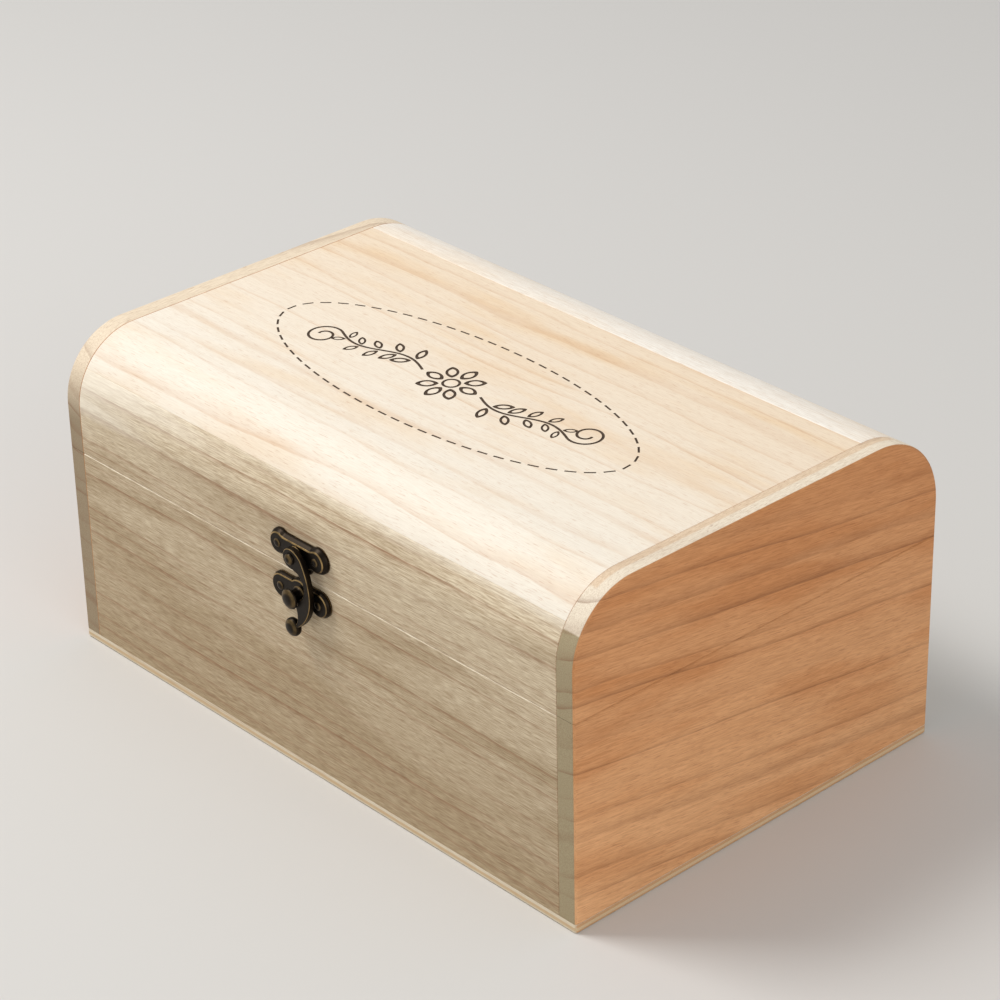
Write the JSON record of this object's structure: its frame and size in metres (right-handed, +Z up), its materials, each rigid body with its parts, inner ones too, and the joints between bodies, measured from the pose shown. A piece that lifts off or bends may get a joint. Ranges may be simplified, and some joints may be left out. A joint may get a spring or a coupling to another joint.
{
  "type": "keepsake box",
  "caption": "Wooden keepsake box with a rounded, hinged lid and a small swing-hook latch that holds it shut at the front.",
  "frame": {"origin": "centre of the bottom face of the box, on the surface that it stands on", "axes": "+X to the right along the front, +Y from the front to the back, +Z up"},
  "size_m": [0.3, 0.2112, 0.142],
  "materials": {
    "front_wood": "bare sanded paulownia, taupe",
    "end_wood": "bare sanded paulownia heartwood, orange tan",
    "top_wood": "bare sanded paulownia, pale cream",
    "rail_wood": "bare sanded paulownia, pale cream",
    "plywood": "bare plywood, plies showing at the edge",
    "antique_bronze": "antique bronze plating, rubbed bright on the edges"
  },
  "bodies": {
    "base": {"bottom_board": "plywood", "base_front_board": "front_wood", "base_back_board": "front_wood", "base_left_end": "end_wood", "base_right_end": "end_wood", "keeper_plate": "antique_bronze", "keeper_post": "antique_bronze", "keeper_nails": "antique_bronze", "left_hinge_base_leaf": "antique_bronze", "left_hinge_base_screws": "antique_bronze", "left_hinge_pin": "antique_bronze", "right_hinge_base_leaf": "antique_bronze", "right_hinge_base_screws": "antique_bronze", "right_hinge_pin": "antique_bronze"},
    "lid": {"lid_front_board": "front_wood", "lid_back_board": "front_wood", "lid_left_end": "end_wood", "lid_right_end": "end_wood", "lid_top_board": "top_wood", "lid_back_rail": "rail_wood", "latch_plate": "antique_bronze", "latch_plate_nails": "antique_bronze", "latch_rivet": "antique_bronze", "left_hinge_lid_leaf": "antique_bronze", "left_hinge_lid_screws": "antique_bronze", "right_hinge_lid_leaf": "antique_bronze", "right_hinge_lid_screws": "antique_bronze"},
    "hook": {"latch_hook": "antique_bronze"}
  },
  "joints": [
    {"name": "lid_hinge", "type": "hinge", "parent": "base", "child": "lid", "pos_m": [0, 0.1003, 0.0917], "axis": [-1, 0, 0], "range_deg": [0, 100]},
    {"name": "hook_swing", "type": "hinge", "parent": "lid", "child": "hook", "pos_m": [0, -0.098, 0.1012], "axis": [0, -1, 0], "range_deg": [0, 300]}
  ]
}
